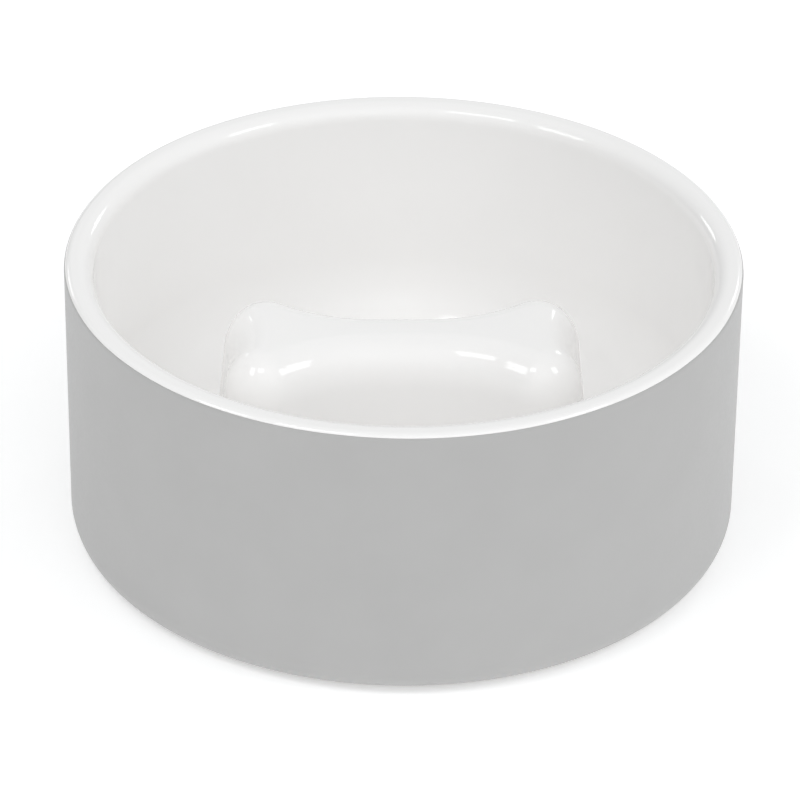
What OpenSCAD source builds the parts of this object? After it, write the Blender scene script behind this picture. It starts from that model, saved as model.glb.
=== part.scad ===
// Slow feeder bowl of glazed stoneware, with a hollow bone-shaped island on its floor.
// The origin is on the table, at the centre of the foot ring. +Z is up, the bone lies along X,
// and lengths are in millimetres. The bowl's sizes and the island's height are finished sizes,
// so the bare stoneware lies one glaze thickness below them. The island's other sizes are those
// of its bare casting, which the glaze covers.

/* [Bowl] */
// Outer radius of the wall, carried up to the height of the rim
rim_r = 100; // [94:1:112]
// Height of the rim over the table
bowl_h = 89.4; // [82:0.2:98]
// How much further out the wall stands at the rim than at the table
wall_lean = 1; // [0:0.5:5]
// Thickness of the wall at the rim
wall_t = 8.5; // [8:0.5:11]
// How much the inside narrows from the rim down to the table's level
bore_lean = 1.5; // [0:0.5:4]
// Radius of the outer edge of the rim
rim_round = 2.2; // [1.8:0.1:2.6]
// Radius of the inner edge of the rim
lip_round = 4.8; // [3.5:0.1:5.2]

/* [Floor and foot] */
// Thickness of the base, from the recess under it up to the floor
base_t = 9.5; // [8:0.5:12]
// Depth of the recess inside the foot ring
foot_h = 2.5; // [2:0.25:4]
// Radius of the rounded edge where the wall turns under to the foot
base_round = 9.4; // [7:0.2:12]
// Width of the unglazed foot ring
foot_w = 7; // [5:0.5:9]
// Width of bare stoneware between the foot ring and the outer glaze
foot_bare_w = 2.5; // [1.5:0.25:4]
// Height of bare stoneware on the foot ring's inner side
foot_bare_h = 1.2; // [0.8:0.1:1.8]
// Slope of the foot ring's inner side, in degrees from upright
foot_slope = 35; // [15:5:50]
// Radius that rounds the foot ring's inner edge
foot_round = 0.8; // [0.5:0.1:1]
// Width of flat floor between the island's bead and the cove that rises to the wall
floor_strip = 1.5; // [0.5:0.5:8]
// Radius of the vent under the island, which lets its air out in the kiln
vent_r = 2.5; // [1.5:0.25:4]

/* [Bone island] */
// Height of the island's crown over the floor
island_h = 53.5; // [44:0.5:58]
// Distance between the lobe centres of the two ends
lobe_pitch = 80.6; // [78:0.2:84]
// Distance between the two lobe centres of one end
lobe_spread = 23.8; // [18:0.2:26]
// Radius of a lobe, measured where the side begins
lobe_r = 12.2; // [12:0.2:13.4]
// Width of the shaft, measured where the side begins
shaft_w = 26.6; // [24.4:0.2:34]
// Radius of the hollow curve from the shaft to a lobe
neck_r = 43; // [30:1:46]
// Radius of the hollow curve between the two lobes of one end
notch_r = 42; // [24:1:50]
// How far the rounded shoulder reaches in from the side to the crown
shoulder_w = 11; // [10.4:0.2:11.8]
// How far the rounded shoulder rises from the side to the crown
shoulder_h = 14.2; // [12:0.2:16.8]
// Draft of the sides, in degrees
side_draft = 5.2; // [3:0.2:6]
// Thickness of the hollow casting
island_t = 6; // [5:0.25:6.25]
// Radius of the bead of slip round the island's foot
bead_r = 3.5; // [2.5:0.25:5]
// Thickness of the slip between the island and the base
slip_t = 0.8; // [0.5:0.1:1.5]

/* [Glaze] */
// Thickness of every coat of glaze
glaze_t = 0.5; // [0.3:0.05:0.8]
// Depth to which the white glaze comes down over the outer edge of the rim
glaze_line = 1.1; // [0.9:0.1:1.6]

/* [Hidden] */
// Angle at which the bead of slip meets the island and the floor
bead_meet = 12;
// Run past a face, for clean cuts
over = 1;
// How far a rounded edge crosses the faces that it joins, so that no sliver is left between them
bite = 0.0005;
// Facets of a full circle
$fn = 180;
// Steps along a quarter of the bone's outline: notch, lobe and neck
notch_steps = 4;
lobe_steps = 13;
neck_steps = 6;
// Steps along the shoulder outside and inside, and along the bead
shoulder_steps = 9;
hollow_steps = 6;
bead_steps = 4;

stoneware = [0.86, 0.82, 0.75];
slip = [0.83, 0.78, 0.70];
white = [0.95, 0.95, 0.94];
grey = [0.62, 0.62, 0.62];

// Slopes of the wall outside and inside, from upright
wall_slope = atan(wall_lean / bowl_h);
bore_slope = atan(bore_lean / bowl_h);
floor_z = foot_h + base_t;
bare_floor_z = floor_z - glaze_t;

// Outside of the wall at height z, and that line moved in by d
function wall_x(z, d) = rim_r - wall_lean * (1 - z / bowl_h) - d / cos(wall_slope);
// Inside of the wall at height z, and that line moved out by d
function bore_x(z, d) = rim_r - wall_t - bore_lean * (1 - z / bowl_h) + d / cos(bore_slope);

// The island's rounded shoulder, an ellipse that runs from the crown down to the side: its point
// where the surface has tilted by angle a, moved out by d, as [distance out, height]
crown_z = floor_z + island_h - glaze_t;
function shoulder(a, d) = let (t = atan2(shoulder_w * sin(a), shoulder_h * cos(a)))
    [shoulder_w * (sin(t) - 1) + d * sin(a), crown_z + shoulder_h * (cos(t) - 1) + d * cos(a)];

// Distance of the side from the top outline at height z, and that line moved out by d
side_top = shoulder(90 - side_draft, 0);
function side_x(z, d) = side_top[0] + (side_top[1] - z) * tan(side_draft) + d / cos(side_draft);

// The bead's hollow curve, and the glaze over it
bead_z = bare_floor_z + bead_r * cos(bead_meet);
bead_top_z = bead_z - bead_r * sin(bead_meet);
bead_x = side_x(bead_top_z, 0) + bead_r * cos(bead_meet);
pool_z = floor_z + bead_r;
pool_x = side_x(pool_z, glaze_t + bead_r);

// The floor stays flat as far out as the island needs, and the cove takes the rest
island_reach = norm([lobe_pitch, lobe_spread]) / 2 + lobe_r + pool_x;
cove = bore_x(floor_z, 0) - island_reach - floor_strip;

// Centres of the rounded edges in the wall's section
rim_c = [wall_x(bowl_h - rim_round, rim_round), bowl_h - rim_round];
base_c = [wall_x(base_round, base_round), base_round];
lip_c = [bore_x(bowl_h - lip_round, lip_round), bowl_h - lip_round];
cove_c = [bore_x(floor_z + cove, -cove), floor_z + cove];
foot_out = base_c[0];
foot_in = foot_out - foot_w;
outer_glaze_r = foot_out + foot_bare_w;

// Section of everything inside the wall's outer face, moved in by d
module outer_section(d) {
    normal = [cos(wall_slope), -sin(wall_slope)];
    polygon([
        [0, d],
        base_c + [0, d - base_round],
        base_c + (base_round - d) * normal,
        rim_c + (rim_round - d) * normal,
        rim_c + [0, rim_round - d],
        [0, bowl_h - d]
    ]);
    translate(rim_c) circle(r = rim_round - d + bite);
    translate(base_c) circle(r = base_round - d + bite);
}

// Section of the space inside the bowl, grown by d
module cavity_section(d) {
    normal = [cos(bore_slope), -sin(bore_slope)];
    difference() {
        union() {
            polygon([
                [0, floor_z - d],
                cove_c - [0, cove + d],
                cove_c + (cove + d) * normal,
                lip_c - (lip_round - d) * normal,
                lip_c,
                [lip_c[0], bowl_h + over],
                [0, bowl_h + over]
            ]);
            translate(cove_c) circle(r = cove + d + bite);
        }
        translate(lip_c) circle(r = lip_round - d + bite);
    }
}

// Section of the recess inside the foot ring, grown by d
module recess_section(d) {
    foot_x = foot_in + d / cos(foot_slope);
    corner = foot_round * tan((90 - foot_slope) / 2);
    difference() {
        polygon([
            [0, -over],
            [foot_x + corner, -over],
            [foot_x + corner, 0],
            [foot_x - corner * sin(foot_slope), corner * cos(foot_slope)],
            [foot_x - (foot_h + d) * tan(foot_slope), foot_h + d],
            [0, foot_h + d]
        ]);
        translate([foot_x + corner, foot_round]) circle(r = foot_round + bite);
    }
}

// A rectangle from one corner to another
module span(low, high) {
    translate(low) square(high - low);
}

// Section of the fired stoneware, before it is glazed
module stoneware_section() {
    difference() {
        union() {
            outer_section(glaze_t);
            span([foot_in - base_round, 0], [foot_out, base_round]);
        }
        cavity_section(glaze_t);
        recess_section(glaze_t);
    }
}

// Half of each section lies past the axis, where this cuts it off
module revolve() {
    rotate_extrude() intersection() {
        children();
        span([0, -over], [rim_r + over, bowl_h + over]);
    }
}

// Points of an arc, without its last one
function arc(c, r, from, to, steps) =
    [for (i = [0:steps - 1]) let (a = from + (to - from) * i / steps) c + r * [cos(a), sin(a)]];

// A quarter of the bone's outline, moved out by d: half a notch, a lobe and a neck
function bone_quarter(d) =
    let (
        lobe_c = [lobe_pitch, lobe_spread] / 2,
        neck_y = shaft_w / 2 + neck_r,
        neck_x = lobe_c[0] - sqrt(pow(lobe_r + neck_r, 2) - pow(neck_y - lobe_c[1], 2)),
        notch_x = lobe_c[0] + sqrt(pow(lobe_r + notch_r, 2) - pow(lobe_c[1], 2)),
        neck_a = atan2(lobe_c[1] - neck_y, lobe_c[0] - neck_x),
        notch_a = atan2(lobe_c[1], lobe_c[0] - notch_x)
    )
    concat(
        arc([notch_x, 0], notch_r - d, 180, notch_a, notch_steps),
        arc(lobe_c, lobe_r + d, notch_a - 180, neck_a + 180, lobe_steps),
        arc([neck_x, neck_y], neck_r - d, neck_a, -90, neck_steps),
        [[neck_x, neck_y - neck_r + d]]
    );

// The bone's whole outline, moved out by d
function bone_outline(d) =
    let (
        q = bone_quarter(d),
        half = concat(q, [for (i = [len(q) - 1:-1:0]) [-q[i][0], q[i][1]]])
    )
    concat(half, [for (i = [1:len(half) - 2]) -half[i]]);

// Faces of a flat cap on the ring of points that starts at a. The outline is hollow along the
// necks and the notches, so each end is a fan round its own hub, and a quad joins them.
function cap_faces(a, hub, quarter) =
    let (
        first = quarter - 1,
        second = 3 * quarter - 2,
        n = 4 * quarter - 2,
        ends = [[for (i = [-first:first]) (i + n) % n], [for (i = [quarter:second]) i]],
        last = len(ends[0]) - 1
    )
    concat(
        [[a + first, a + quarter, a + second, a + second + 1]],
        [for (e = [0, 1]) for (i = [0:last]) [hub + e, a + ends[e][i], a + ends[e][(i + 1) % (last + 1)]]]
    );

function reversed(list) = [for (i = [len(list) - 1:-1:0]) list[i]];

// A solid lofted through the bone's outline at each [distance out, height] of a profile.
// A closed profile joins its last ring to its first, and an open one is capped at both ends.
module bone_loft(profile, closed = false) {
    quarter = len(bone_quarter(0));
    n = len(bone_outline(0));
    rings = len(profile);
    points = [for (p = profile) for (q = bone_outline(p[0])) [q[0], q[1], p[1]]];
    sides = [for (k = [0:rings - (closed ? 1 : 2)]) for (i = [0:n - 1])
        let (a = k * n, b = (k + 1) % rings * n, j = (i + 1) % n)
        each [[a + i, a + j, b + j], [a + i, b + j, b + i]]];
    hub_x = (lobe_pitch - lobe_spread) / 2;
    hubs = [for (p = [profile[0], profile[rings - 1]]) for (x = [hub_x, -hub_x]) [x, 0, p[1]]];
    hub = len(points);
    caps = concat(
        [for (face = cap_faces(0, hub, quarter)) reversed(face)],
        cap_faces((rings - 1) * n, hub + 2, quarter)
    );
    if (closed)
        polyhedron(points, sides, convexity = 4);
    else
        polyhedron(concat(points, hubs), concat(sides, caps), convexity = 4);
}

// The top of the island from the crown's middle out to the side, moved out by d
function crown_profile(d, steps) =
    [for (i = [0:steps]) shoulder((90 - side_draft) * i / steps, d)];

// The bead's hollow curve from the island's side to its toe on the floor
bead_profile = [for (i = [0:bead_steps])
    let (a = bead_meet + (90 - 2 * bead_meet) * i / bead_steps)
    [bead_x - bead_r * cos(a), bead_z - bead_r * sin(a)]];

island_foot_z = bare_floor_z + slip_t;

module bowl_body() {
    color(stoneware) difference() {
        revolve() stoneware_section();
        cylinder(r = vent_r, h = floor_z + over);
    }
}

module bone_island() {
    color(stoneware) bone_loft(concat(
        crown_profile(0, shoulder_steps),
        [[side_x(bead_top_z, 0), bead_top_z]],
        [[side_x(island_foot_z, 0), island_foot_z]],
        [[side_x(island_foot_z, -island_t), island_foot_z]],
        reversed(crown_profile(-island_t, hollow_steps))
    ));
}

module slip_joint() {
    color(slip) bone_loft(concat(
        bead_profile,
        [[side_x(island_foot_z, -island_t), bare_floor_z]],
        [[side_x(island_foot_z, -island_t), island_foot_z]],
        [[side_x(island_foot_z, 0), island_foot_z]]
    ), closed = true);
}

module island_glaze() {
    pool = [for (i = [0:bead_steps]) let (a = side_draft + (90 - side_draft) * i / bead_steps)
        [pool_x - bead_r * cos(a), pool_z - bead_r * sin(a)]];
    color(white) bone_loft(concat(
        crown_profile(glaze_t, shoulder_steps),
        pool,
        [[pool_x, bare_floor_z]],
        reversed(bead_profile),
        reversed(crown_profile(0, shoulder_steps))
    ));
}

module lining_glaze() {
    color(white) difference() {
        revolve() difference() {
            intersection() {
                outer_section(0);
                union() {
                    cavity_section(glaze_t);
                    span([lip_c[0] - lip_round, bowl_h - glaze_line], [rim_r, bowl_h]);
                }
            }
            cavity_section(0);
            stoneware_section();
        }
        linear_extrude(floor_z + over) polygon(bone_outline(pool_x));
    }
}

module outer_glaze() {
    color(grey) revolve() difference() {
        intersection() {
            outer_section(0);
            span([outer_glaze_r, 0], [rim_r, bowl_h - glaze_line]);
        }
        outer_section(glaze_t);
    }
}

module base_glaze() {
    color(white) difference() {
        revolve() difference() {
            intersection() {
                recess_section(glaze_t);
                span([0, foot_bare_h], [foot_out, floor_z]);
            }
            recess_section(0);
        }
        cylinder(r = vent_r, h = floor_z);
    }
}

bowl_body();
bone_island();
slip_joint();
lining_glaze();
island_glaze();
outer_glaze();
base_glaze();
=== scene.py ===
import math

import bmesh
import bpy
from mathutils import Matrix, Quaternion, Vector


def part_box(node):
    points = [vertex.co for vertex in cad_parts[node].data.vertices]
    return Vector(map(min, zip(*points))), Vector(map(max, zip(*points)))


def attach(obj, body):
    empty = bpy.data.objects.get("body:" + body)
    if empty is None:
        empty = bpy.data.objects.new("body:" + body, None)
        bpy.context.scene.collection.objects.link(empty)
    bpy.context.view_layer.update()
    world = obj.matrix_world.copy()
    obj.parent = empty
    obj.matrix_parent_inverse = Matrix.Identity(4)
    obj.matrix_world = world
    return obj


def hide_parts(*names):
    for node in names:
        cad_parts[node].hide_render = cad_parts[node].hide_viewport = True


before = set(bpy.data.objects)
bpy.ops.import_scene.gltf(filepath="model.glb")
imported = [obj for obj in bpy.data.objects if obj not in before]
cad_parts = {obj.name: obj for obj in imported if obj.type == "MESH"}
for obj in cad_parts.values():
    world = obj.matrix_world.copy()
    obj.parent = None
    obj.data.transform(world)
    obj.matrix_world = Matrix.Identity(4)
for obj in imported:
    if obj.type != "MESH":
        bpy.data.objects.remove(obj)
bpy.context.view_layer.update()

# Slow feeder bowl of glazed stoneware with a bone-shaped island.
# Lengths are in metres and angles in degrees. The coats of glaze are made here as closed shells,
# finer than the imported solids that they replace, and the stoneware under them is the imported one.


def low(node):
    """Lowest corner of a node's box."""
    return Vector(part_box(node)[0])


def high(node):
    """Highest corner of a node's box."""
    return Vector(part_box(node)[1])


# Sizes that the frame gives, and the thickness of every coat of glaze
GLAZE_T = 0.0005
RIM_R = min(high("outer_glaze").x, high("outer_glaze").y)
BOWL_H = high("lining_glaze").z
FLOOR_Z = low("lining_glaze").z + GLAZE_T
GLAZE_LINE = BOWL_H - high("outer_glaze").z

# Sizes of the bowl, as in the solids
WALL_LEAN = 0.001
WALL_T = 0.0085
BORE_LEAN = 0.0015
RIM_ROUND = 0.0022
LIP_ROUND = 0.0048
BASE_ROUND = 0.0094
FLOOR_STRIP = 0.0015
FOOT_W = 0.007
FOOT_BARE_W = 0.0025
FOOT_BARE_H = 0.0012
FOOT_SLOPE = 35
FOOT_H = 0.0025
VENT_R = 0.0025

# Sizes of the bone island, as in the solids: its height is finished, the rest is the bare casting
ISLAND_H = 0.0535
LOBE_PITCH = 0.0806
LOBE_SPREAD = 0.0238
LOBE_R = 0.0122
SHAFT_W = 0.0266
NECK_R = 0.043
NOTCH_R = 0.042
SHOULDER_W = 0.011
SHOULDER_H = 0.0142
SIDE_DRAFT = 5.2
BEAD_R = 0.0035

# Rounded edges of the coats, and the glaze that pools in the corner of the recess
WHITE_ROLL = 0.0002
GREY_ROLL = 0.0001
TOE_ROLL = 0.0003
CORNER_R = 0.0012

# How far the line between white and grey and the toe of the grey coat waver, and the waves that
# both follow: (share of the whole, waves round the bowl, phase)
LINE_WAVER = 0.00007
TOE_WAVER = 0.0002
TOE_PHASE = 90
WAVES = [(0.5, 3, 40), (0.3, 8, 200), (0.2, 17, 0)]

# Smoothness of the meshes: steps along each curve, and the angle from which an edge is sharp
TURN_STEPS = 384
ROLL_STEPS = 4
RIM_STEPS = 14
BASE_STEPS = 28
COVE_STEPS = 42
CORNER_STEPS = 14
NOTCH_STEPS = 16
LOBE_STEPS = 44
NECK_STEPS = 24
SHOULDER_STEPS = 26
POOL_STEPS = 12
SHARP_ANGLE = 35

WALL_SLOPE = math.degrees(math.atan(WALL_LEAN / BOWL_H))
BORE_SLOPE = math.degrees(math.atan(BORE_LEAN / BOWL_H))


# Sine, cosine and tangent of an angle in degrees
def sin(a):
    return math.sin(math.radians(a))


def cos(a):
    return math.cos(math.radians(a))


def tan(a):
    return math.tan(math.radians(a))


def arc(centre, r, start, end, steps):
    """Points of an arc with both its ends."""
    turn = (end - start) / steps
    return [(centre[0] + r * cos(start + i * turn), centre[1] + r * sin(start + i * turn))
            for i in range(steps + 1)]


def wall_x(z, d):
    """Outside of the wall at height z, moved in by d."""
    return RIM_R - WALL_LEAN * (1 - z / BOWL_H) - d / cos(WALL_SLOPE)


def bore_x(z, d):
    """Inside of the wall at height z, moved out by d."""
    return RIM_R - WALL_T - BORE_LEAN * (1 - z / BOWL_H) + d / cos(BORE_SLOPE)


def shoulder(a, d):
    """The island's shoulder where it has tilted by angle a, moved out by d.

    The point is a distance out from the top outline and a height."""
    t = math.degrees(math.atan2(SHOULDER_W * sin(a), SHOULDER_H * cos(a)))
    top = FLOOR_Z + ISLAND_H - GLAZE_T
    return (SHOULDER_W * (sin(t) - 1) + d * sin(a), top + SHOULDER_H * (cos(t) - 1) + d * cos(a))


def side_x(z, d):
    """Distance of the island's side from its top outline at height z, moved out by d."""
    x, top = shoulder(90 - SIDE_DRAFT, 0)
    return x + (top - z) * tan(SIDE_DRAFT) + d / cos(SIDE_DRAFT)


# The floor stays flat as far out as the island needs, and the cove takes the rest
POOL_C = (side_x(FLOOR_Z + BEAD_R, GLAZE_T + BEAD_R), FLOOR_Z + BEAD_R)
ISLAND_REACH = math.hypot(LOBE_PITCH, LOBE_SPREAD) / 2 + LOBE_R + POOL_C[0]
COVE_R = bore_x(FLOOR_Z, 0) - ISLAND_REACH - FLOOR_STRIP

# Centres of the rounded edges, and the angles round them where the grey coat ends
RIM_C = (wall_x(BOWL_H - RIM_ROUND, RIM_ROUND), BOWL_H - RIM_ROUND)
BASE_C = (wall_x(BASE_ROUND, BASE_ROUND), BASE_ROUND)
LIP_C = (bore_x(BOWL_H - LIP_ROUND, LIP_ROUND), BOWL_H - LIP_ROUND)
COVE_C = (bore_x(FLOOR_Z + COVE_R, -COVE_R), FLOOR_Z + COVE_R)
LINE_ANGLE = math.degrees(math.asin((RIM_ROUND - GLAZE_LINE) / RIM_ROUND))
TOE_ANGLE = -math.degrees(math.acos(FOOT_BARE_W / BASE_ROUND))


def finish_mesh(name, bm, material, nodes):
    """Turns a bmesh into a smooth-shaded piece that stands for the named nodes."""
    bmesh.ops.recalc_face_normals(bm, faces=bm.faces)
    for face in bm.faces:
        face.smooth = True
    for edge in bm.edges:
        edge.smooth = edge.is_manifold and math.degrees(edge.calc_face_angle(0)) < SHARP_ANGLE
    mesh = bpy.data.meshes.new(name)
    bm.to_mesh(mesh)
    bm.free()
    mesh.materials.append(material)
    piece = bpy.data.objects.new(name, mesh)
    bpy.context.scene.collection.objects.link(piece)
    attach(piece, "root")
    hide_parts(*nodes)


def add_ring(bm, points):
    """A vertex at each of the points."""
    return [bm.verts.new(p) for p in points]


def bridge(bm, ring_a, ring_b):
    """Quads between two rings of as many vertices."""
    n = len(ring_a)
    for i in range(n):
        j = (i + 1) % n
        bm.faces.new((ring_a[i], ring_a[j], ring_b[j], ring_b[i]))


def lathe(bm, section_at, closed):
    """Rings round the axis through a section's points, which may differ a little by azimuth."""
    turns = [i * 360 / TURN_STEPS for i in range(TURN_STEPS)]
    sections = [section_at(turn) for turn in turns]
    rings = []
    for points in zip(*sections):
        places = [(r * cos(a), r * sin(a), z) for (r, z), a in zip(points, turns)]
        rings.append(add_ring(bm, places))
    for a, b in zip(rings, rings[1:]):
        bridge(bm, a, b)
    if closed:
        bridge(bm, rings[-1], rings[0])
    return rings


def waver(azimuth):
    """From -1 to 1, without a jump round the bowl."""
    return sum(share * sin(count * azimuth + phase) for share, count, phase in WAVES)


def rolled_edge(centre, r, angle, side, roll):
    """Rounds the edge of a coat that ends at this angle of an arc, up to its surface.

    The coat lies on the side of greater angles where side is 1, and of smaller ones where it is -1."""
    points = []
    for i in range(ROLL_STEPS + 1):
        t = 90 * i / ROLL_STEPS
        along = angle + side * math.degrees(roll * (1 - cos(t)) / r)
        out = r - roll * (1 - sin(t))
        points.append((centre[0] + out * cos(along), centre[1] + out * sin(along)))
    return points


def zip_flat(bm, inner, outer):
    """Triangles between two rings round the axis that have different numbers of vertices."""
    def azimuth(vertex):
        return math.atan2(vertex.co.y, vertex.co.x) % math.tau

    def by_azimuth(ring):
        start = min(range(len(ring)), key=lambda i: azimuth(ring[i]))
        return ring[start:] + ring[:start]

    def unwound(ring, i):
        return azimuth(ring[i % len(ring)]) + math.tau * (i // len(ring))

    inner = by_azimuth(inner)
    outer = by_azimuth(outer)
    i = 0
    j = 0
    while i < len(inner) or j < len(outer):
        a = inner[i % len(inner)]
        b = outer[j % len(outer)]
        inner_is_nearer = i < len(inner) and unwound(inner, i + 1) < unwound(outer, j + 1)
        if j >= len(outer) or inner_is_nearer:
            i += 1
            bm.faces.new((a, b, inner[i % len(inner)]))
        else:
            j += 1
            bm.faces.new((a, b, outer[j % len(outer)]))


def bone_outline(d):
    """The bone's outline in tangent arcs, moved out by d."""
    lobe = (LOBE_PITCH / 2, LOBE_SPREAD / 2)
    neck_y = SHAFT_W / 2 + NECK_R
    neck_x = lobe[0] - math.sqrt((LOBE_R + NECK_R) ** 2 - (neck_y - lobe[1]) ** 2)
    notch_x = lobe[0] + math.sqrt((LOBE_R + NOTCH_R) ** 2 - lobe[1] ** 2)
    neck_a = math.degrees(math.atan2(lobe[1] - neck_y, lobe[0] - neck_x))
    notch_a = math.degrees(math.atan2(lobe[1], lobe[0] - notch_x))
    quarter = (arc((notch_x, 0), NOTCH_R - d, 180, notch_a, NOTCH_STEPS)[:-1]
               + arc(lobe, LOBE_R + d, notch_a - 180, neck_a + 180, LOBE_STEPS)[:-1]
               + arc((neck_x, neck_y), NECK_R - d, neck_a, -90, NECK_STEPS))
    half = quarter + [(-x, y) for x, y in reversed(quarter)]
    return half + [(-x, -y) for x, y in half[1:-1]]


def island_section(d, toe_z):
    """The island's surface moved out by d, from the crown down to the toe of its pooled glaze."""
    tilts = [(90 - SIDE_DRAFT) * i / SHOULDER_STEPS for i in range(SHOULDER_STEPS + 1)]
    pool = arc(POOL_C, BEAD_R + GLAZE_T - d, 180 + SIDE_DRAFT, 270, POOL_STEPS)
    return [shoulder(a, d) for a in tilts] + pool[:-1] + [(POOL_C[0], toe_z)]


def loft(bm, section):
    """Rings of the bone's outline at each distance out and height of a section."""
    return [add_ring(bm, [(x, y, z) for x, y in bone_outline(d)]) for d, z in section]


def island_coat(material):
    """The coat over the island and its bead, with its hidden side on the casting."""
    bm = bmesh.new()
    shown = loft(bm, island_section(GLAZE_T, FLOOR_Z))
    hidden = loft(bm, island_section(0, FLOOR_Z - GLAZE_T))
    for rings in (shown, hidden):
        bm.faces.new(rings[0])
        for a, b in zip(rings, rings[1:]):
            bridge(bm, a, b)
    bridge(bm, shown[-1], hidden[-1])
    finish_mesh("island_white_glaze", bm, material, ["island_glaze"])


def line_angle(azimuth):
    """Where the white glaze meets the grey, on the rim's outer edge."""
    return LINE_ANGLE + math.degrees(LINE_WAVER * waver(azimuth) / RIM_ROUND)


def lining_coat(material):
    """The coat over the rim, the wall's inside and the floor, with a hole for the island."""
    def bore(d):
        return (arc(LIP_C, LIP_ROUND - d, 90, 180 - BORE_SLOPE, RIM_STEPS)
                + arc(COVE_C, COVE_R + d, -BORE_SLOPE, -90, COVE_STEPS))

    def shown_at(azimuth):
        edge = rolled_edge(RIM_C, RIM_ROUND, line_angle(azimuth), 1, WHITE_ROLL)
        start = line_angle(azimuth) + math.degrees(WHITE_ROLL / RIM_ROUND)
        return edge[:-1] + arc(RIM_C, RIM_ROUND, start, 90, RIM_STEPS) + bore(0)

    def hidden_at(azimuth):
        return arc(RIM_C, RIM_ROUND - GLAZE_T, line_angle(azimuth), 90, RIM_STEPS) + bore(GLAZE_T)

    bm = bmesh.new()
    shown = lathe(bm, shown_at, closed=False)
    hidden = lathe(bm, hidden_at, closed=False)
    bridge(bm, shown[0], hidden[0])
    holes = []
    for ring in (shown[-1], hidden[-1]):
        z = ring[0].co.z
        hole = add_ring(bm, [(x, y, z) for x, y in bone_outline(POOL_C[0])])
        zip_flat(bm, hole, ring)
        holes.append(hole)
    bridge(bm, *holes)
    finish_mesh("lining_white_glaze", bm, material, ["lining_glaze"])


def outer_coat(material):
    """The coat outside, from the foot up to the line under the rim."""
    def section_at(azimuth):
        toe = TOE_ANGLE + math.degrees(TOE_WAVER * waver(azimuth + TOE_PHASE) / BASE_ROUND)
        line = line_angle(azimuth)
        toe_start = toe + math.degrees(TOE_ROLL / BASE_ROUND)
        line_end = line - math.degrees(GREY_ROLL / RIM_ROUND)
        shown = (rolled_edge(BASE_C, BASE_ROUND, toe, 1, TOE_ROLL)[:-1]
                 + arc(BASE_C, BASE_ROUND, toe_start, -WALL_SLOPE, BASE_STEPS)
                 + arc(RIM_C, RIM_ROUND, -WALL_SLOPE, line_end, RIM_STEPS)
                 + rolled_edge(RIM_C, RIM_ROUND, line, -1, GREY_ROLL)[-2::-1])
        hidden = (arc(BASE_C, BASE_ROUND - GLAZE_T, toe, -WALL_SLOPE, BASE_STEPS)
                  + arc(RIM_C, RIM_ROUND - GLAZE_T, -WALL_SLOPE, line, RIM_STEPS))
        return shown + hidden[::-1]

    bm = bmesh.new()
    lathe(bm, section_at, closed=True)
    finish_mesh("outer_grey_glaze", bm, material, ["outer_glaze"])


def base_coat(material):
    """The coat in the recess under the base, from the foot ring in to the vent."""
    def side(z, d):
        return BASE_C[0] - FOOT_W - z * tan(FOOT_SLOPE) + d / cos(FOOT_SLOPE)

    tangent_z = FOOT_H - CORNER_R * (1 - sin(FOOT_SLOPE))
    corner = (side(tangent_z, 0) - CORNER_R * cos(FOOT_SLOPE), FOOT_H - CORNER_R)
    roof_z = FOOT_H + GLAZE_T
    section = [
        (side(FOOT_BARE_H, 0), FOOT_BARE_H),
        *arc(corner, CORNER_R, FOOT_SLOPE, 90, CORNER_STEPS),
        (VENT_R, FOOT_H),
        (VENT_R, roof_z),
        (side(roof_z, GLAZE_T), roof_z),
        (side(FOOT_BARE_H, GLAZE_T), FOOT_BARE_H),
    ]
    bm = bmesh.new()
    lathe(bm, lambda azimuth: section, closed=True)
    finish_mesh("base_clear_glaze", bm, material, ["base_glaze"])


# Looks. Tones are linear colours, scales are in features to a metre and depths are in metres.
# A look goes from its first tone or limit to its second as its noise goes from low to high.
NOISE_LOW = 0.3
NOISE_HIGH = 0.7
NOISE_DETAIL = 2.0
NOISE_ROUGHNESS = 0.5

WHITE_TONES = ((0.989, 0.979, 0.969), (0.994, 0.985, 0.976))
WHITE_CLOUD_SCALE = 26
WHITE_ROUGHNESS = (0.05, 0.08)
WHITE_SHEEN_SCALE = 60
WHITE_FLOW = {"scale": 45, "detail": 1.0, "depth": 0.0002, "strength": 0.15}
WHITE_PEEL = {"scale": 700, "detail": 1.0, "depth": 0.00001, "strength": 0.1}

GREY_TONES = ((0.475, 0.472, 0.468), (0.487, 0.484, 0.480))
GREY_MOTTLE_SCALE = 55
GREY_MOTTLE_DETAIL = 3.0
GREY_SPECULAR = 0.3
GREY_ROUGHNESS = (0.40, 0.50)
GREY_SHEEN_SCALE = 900
GREY_GRAIN = {"scale": 1600, "detail": 3.0, "depth": 0.00004, "strength": 0.3}

CLAY_TONES = ((0.66, 0.60, 0.52), (0.76, 0.71, 0.63))
SLIP_TONES = ((0.64, 0.58, 0.50), (0.72, 0.67, 0.59))
CLAY_ROUGHNESS = (0.72, 0.9)
CLAY_BODY = {"scale": 420, "detail": 4.0, "roughness": 0.7}
CLAY_GRAIN = {"scale": 1500, "detail": 4.0, "depth": 0.00008, "strength": 0.5}


def new_material(name):
    """A material, its shader, and functions that add a node and a link."""
    material = bpy.data.materials.new(name)
    material.use_nodes = True
    tree = material.node_tree
    return material, tree.nodes["Principled BSDF"], tree.nodes.new, tree.links.new


def noise(add, link, coords, scale, detail=NOISE_DETAIL, roughness=NOISE_ROUGHNESS):
    """A noise in the piece's own coordinates."""
    node = add("ShaderNodeTexNoise")
    node.inputs["Scale"].default_value = scale
    node.inputs["Detail"].default_value = detail
    node.inputs["Roughness"].default_value = roughness
    link(coords.outputs["Object"], node.inputs["Vector"])
    return node


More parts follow.
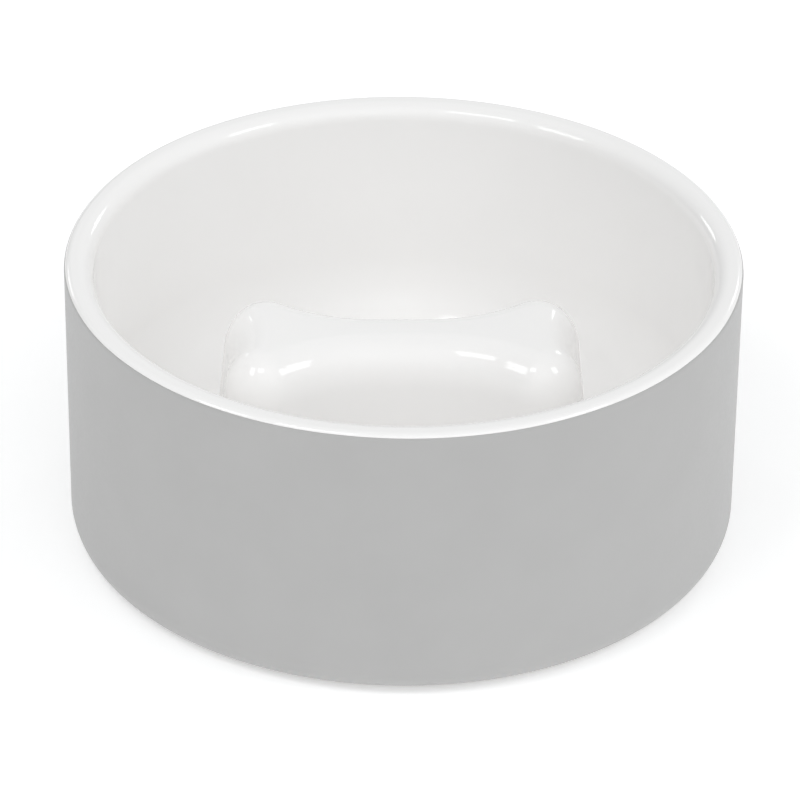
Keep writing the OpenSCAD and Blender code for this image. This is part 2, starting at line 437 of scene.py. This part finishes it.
def tint(add, link, source, tones, shader):
    """Colours the shader between two tones, as the source varies."""
    node = add("ShaderNodeValToRGB")
    for element, position, tone in zip(node.color_ramp.elements, (NOISE_LOW, NOISE_HIGH), tones):
        element.position = position
        element.color = (*tone, 1)
    link(source.outputs["Fac"], node.inputs["Fac"])
    link(node.outputs["Color"], shader.inputs["Base Color"])


def roughen(add, link, source, limits, shader):
    """Gives the shader a roughness between two limits, as the source varies."""
    node = add("ShaderNodeMapRange")
    node.inputs["From Min"].default_value = NOISE_LOW
    node.inputs["From Max"].default_value = NOISE_HIGH
    node.inputs["To Min"].default_value = limits[0]
    node.inputs["To Max"].default_value = limits[1]
    link(source.outputs["Fac"], node.inputs["Value"])
    link(node.outputs["Result"], shader.inputs["Roughness"])


def relief(add, link, coords, scale, detail, depth, strength):
    """A bump from a noise of its own."""
    source = noise(add, link, coords, scale, detail)
    node = add("ShaderNodeBump")
    node.inputs["Distance"].default_value = depth
    node.inputs["Strength"].default_value = strength
    link(source.outputs["Fac"], node.inputs["Height"])
    return node


def white_glaze():
    """Glossy, and a little uneven as glaze flows, with a faint orange peel over that."""
    material, shader, add, link = new_material("white_glaze")
    coords = add("ShaderNodeTexCoord")
    tint(add, link, noise(add, link, coords, WHITE_CLOUD_SCALE), WHITE_TONES, shader)
    roughen(add, link, noise(add, link, coords, WHITE_SHEEN_SCALE), WHITE_ROUGHNESS, shader)
    flow = relief(add, link, coords, **WHITE_FLOW)
    peel = relief(add, link, coords, **WHITE_PEEL)
    link(flow.outputs["Normal"], peel.inputs["Normal"])
    link(peel.outputs["Normal"], shader.inputs["Normal"])
    return material


def grey_glaze():
    """Satin, faintly mottled and with a fine grain."""
    material, shader, add, link = new_material("grey_glaze")
    coords = add("ShaderNodeTexCoord")
    mottle = noise(add, link, coords, GREY_MOTTLE_SCALE, GREY_MOTTLE_DETAIL)
    tint(add, link, mottle, GREY_TONES, shader)
    shader.inputs["Specular IOR Level"].default_value = GREY_SPECULAR
    roughen(add, link, noise(add, link, coords, GREY_SHEEN_SCALE), GREY_ROUGHNESS, shader)
    grain = relief(add, link, coords, **GREY_GRAIN)
    link(grain.outputs["Normal"], shader.inputs["Normal"])
    return material


def stoneware(name, tones):
    """Bare fired clay, matte and sandy."""
    material, shader, add, link = new_material(name)
    coords = add("ShaderNodeTexCoord")
    body = noise(add, link, coords, **CLAY_BODY)
    tint(add, link, body, tones, shader)
    roughen(add, link, body, CLAY_ROUGHNESS, shader)
    grain = relief(add, link, coords, **CLAY_GRAIN)
    link(grain.outputs["Normal"], shader.inputs["Normal"])
    return material


WHITE = white_glaze()
GREY = grey_glaze()
CLAY = stoneware("stoneware", CLAY_TONES)
SLIP = stoneware("slip", SLIP_TONES)

for node, material in (("bowl_body", CLAY), ("bone_island", CLAY), ("slip_joint", SLIP)):
    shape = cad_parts[node]
    shape.data.materials.clear()
    shape.data.materials.append(material)

lining_coat(WHITE)
island_coat(WHITE)
outer_coat(GREY)
base_coat(WHITE)

# Floor: its own glow keeps it near white where the bowl shades it
FLOOR_SIZE = 8.0
FLOOR_TONE = 0.93
FLOOR_ROUGHNESS = 0.9
FLOOR_SPECULAR = 0.1
FLOOR_GLOW = 0.3


def pale_floor():
    """Nearly white and matte, with the glow."""
    material, shader, _, _ = new_material("pale_floor")
    shader.inputs["Base Color"].default_value = (FLOOR_TONE, FLOOR_TONE, FLOOR_TONE, 1)
    shader.inputs["Roughness"].default_value = FLOOR_ROUGHNESS
    shader.inputs["Specular IOR Level"].default_value = FLOOR_SPECULAR
    shader.inputs["Emission Color"].default_value = (1, 1, 1, 1)
    shader.inputs["Emission Strength"].default_value = FLOOR_GLOW
    return material


half = FLOOR_SIZE / 2
corners = [(-half, -half, 0), (half, -half, 0), (half, half, 0), (-half, half, 0)]
floor_mesh = bpy.data.meshes.new("floor")
floor_mesh.from_pydata(corners, [], [(0, 1, 2, 3)])
floor_mesh.materials.append(pale_floor())
floor = bpy.data.objects.new("floor", floor_mesh)
bpy.context.scene.collection.objects.link(floor)

# Light: a white studio, brighter in some directions, and the softboxes that the gloss reflects.
# Azimuth 0 is on the camera's side of the bowl and 90 on +X.
LIGHT_COLOUR = (0.990, 1.0, 1.006)

# Glows of the studio: (azimuth, elevation, strength), and how quickly each fades round its direction
GLOW_SHARPNESS = 4
STUDIO_GLOWS = [
    (0, 45, 0.99),
    (90, 10, 0.82),
    (150, 10, 0.61),
    (-150, 45, 0.51),
    (45, 45, 0.39),
    (-45, 10, 0.25),
    (-90, 45, 0.24),
]

# Softboxes: (name, azimuth, elevation, half width, half height, roll, radiance). The half sizes are
# angles, seen from the point that the softboxes face, which is at the same distance from them all.
AIM = Vector((0, 0, 0.06))
SOFTBOX_DISTANCE = 1.4
SOFTBOXES = [
    ("softbox_right", 67, 45, 7, 8, -20, 4.0),
    ("softbox_left", -40, 59, 9, 6, 15, 4.0),
    ("softbox_low_left", -70, 44, 7, 9, 30, 4.0),
    ("softbox_back_right", 145, 26, 4.5, 5, 0, 3.5),
    ("softbox_back_left", -143, 20, 6, 4, 0, 3.5),
]


def toward(azimuth, elevation):
    """The direction from the bowl to this azimuth and elevation."""
    return Vector((sin(azimuth) * cos(elevation), -cos(azimuth) * cos(elevation), sin(elevation)))


def studio():
    """A world that glows softly round each of the named directions."""
    world = bpy.data.worlds.new("studio")
    world.use_nodes = True
    tree = world.node_tree
    background = tree.nodes["Background"]
    coords = tree.nodes.new("ShaderNodeTexCoord")

    def math_node(operation, source):
        node = tree.nodes.new("ShaderNodeMath")
        node.operation = operation
        tree.links.new(source, node.inputs[0])
        return node

    def math_value(operation, source, value):
        node = math_node(operation, source)
        node.inputs[1].default_value = value
        return node.outputs[0]

    def math_sum(source, other):
        node = math_node("ADD", source)
        tree.links.new(other, node.inputs[1])
        return node.outputs[0]

    total = None
    for azimuth, elevation, strength in STUDIO_GLOWS:
        facing = tree.nodes.new("ShaderNodeVectorMath")
        facing.operation = "DOT_PRODUCT"
        facing.inputs[1].default_value = toward(azimuth, elevation)
        tree.links.new(coords.outputs["Generated"], facing.inputs[0])
        clamped = math_value("MAXIMUM", facing.outputs["Value"], 0)
        lobe = math_value("POWER", clamped, GLOW_SHARPNESS)
        glow = math_value("MULTIPLY", lobe, strength)
        total = math_sum(glow, total) if total else glow
    tree.links.new(total, background.inputs["Strength"])
    background.inputs["Color"].default_value = (*LIGHT_COLOUR, 1)
    bpy.context.scene.world = world


def softbox(name, azimuth, elevation, half_width, half_height, roll, radiance):
    """A rectangular light that faces the bowl."""
    width = 2 * SOFTBOX_DISTANCE * tan(half_width)
    height = 2 * SOFTBOX_DISTANCE * tan(half_height)
    light = bpy.data.lights.new(name, "AREA")
    light.shape = "RECTANGLE"
    light.size = width
    light.size_y = height
    light.color = LIGHT_COLOUR
    # At this power the light's face has the wanted radiance
    light.energy = radiance * math.pi * width * height
    place = toward(azimuth, elevation)
    turn = Quaternion((0, 0, 1), math.radians(roll))
    lamp = bpy.data.objects.new(name, light)
    lamp.location = AIM + SOFTBOX_DISTANCE * place
    lamp.rotation_euler = (place.to_track_quat("Z", "Y") @ turn).to_euler()
    bpy.context.scene.collection.objects.link(lamp)


studio()
for box in SOFTBOXES:
    softbox(*box)

# Camera, as fitted to the bowl's outline: the focal length is in pixels of the square image
CAMERA_DISTANCE = 2.0
CAMERA_ELEVATION = 31.356
CAMERA_AZIMUTH = -1.6
CAMERA_ROLL = 0.586
CAMERA_TARGET = Vector((-0.000711, 0, 0.040409))
FOCAL_PIXELS = 6714
IMAGE_PIXELS = 800
SENSOR_MM = 36
CLIP_NEAR = 0.01
CLIP_FAR = 50

camera_data = bpy.data.cameras.new("camera")
camera_data.sensor_width = SENSOR_MM
camera_data.lens = SENSOR_MM * FOCAL_PIXELS / IMAGE_PIXELS
camera_data.clip_start = CLIP_NEAR
camera_data.clip_end = CLIP_FAR
camera = bpy.data.objects.new("camera", camera_data)
back = Vector((0, -cos(CAMERA_ELEVATION), sin(CAMERA_ELEVATION))) * CAMERA_DISTANCE
turn = Matrix.Rotation(math.radians(CAMERA_AZIMUTH), 4, "Z")
tilt = Matrix.Rotation(math.radians(90 - CAMERA_ELEVATION), 4, "X")
roll = Matrix.Rotation(math.radians(CAMERA_ROLL), 4, "Z")
camera.matrix_world = turn @ Matrix.Translation(CAMERA_TARGET + back) @ tilt @ roll
bpy.context.scene.collection.objects.link(camera)
bpy.context.scene.camera = camera
bpy.context.scene.view_settings.view_transform = "Standard"
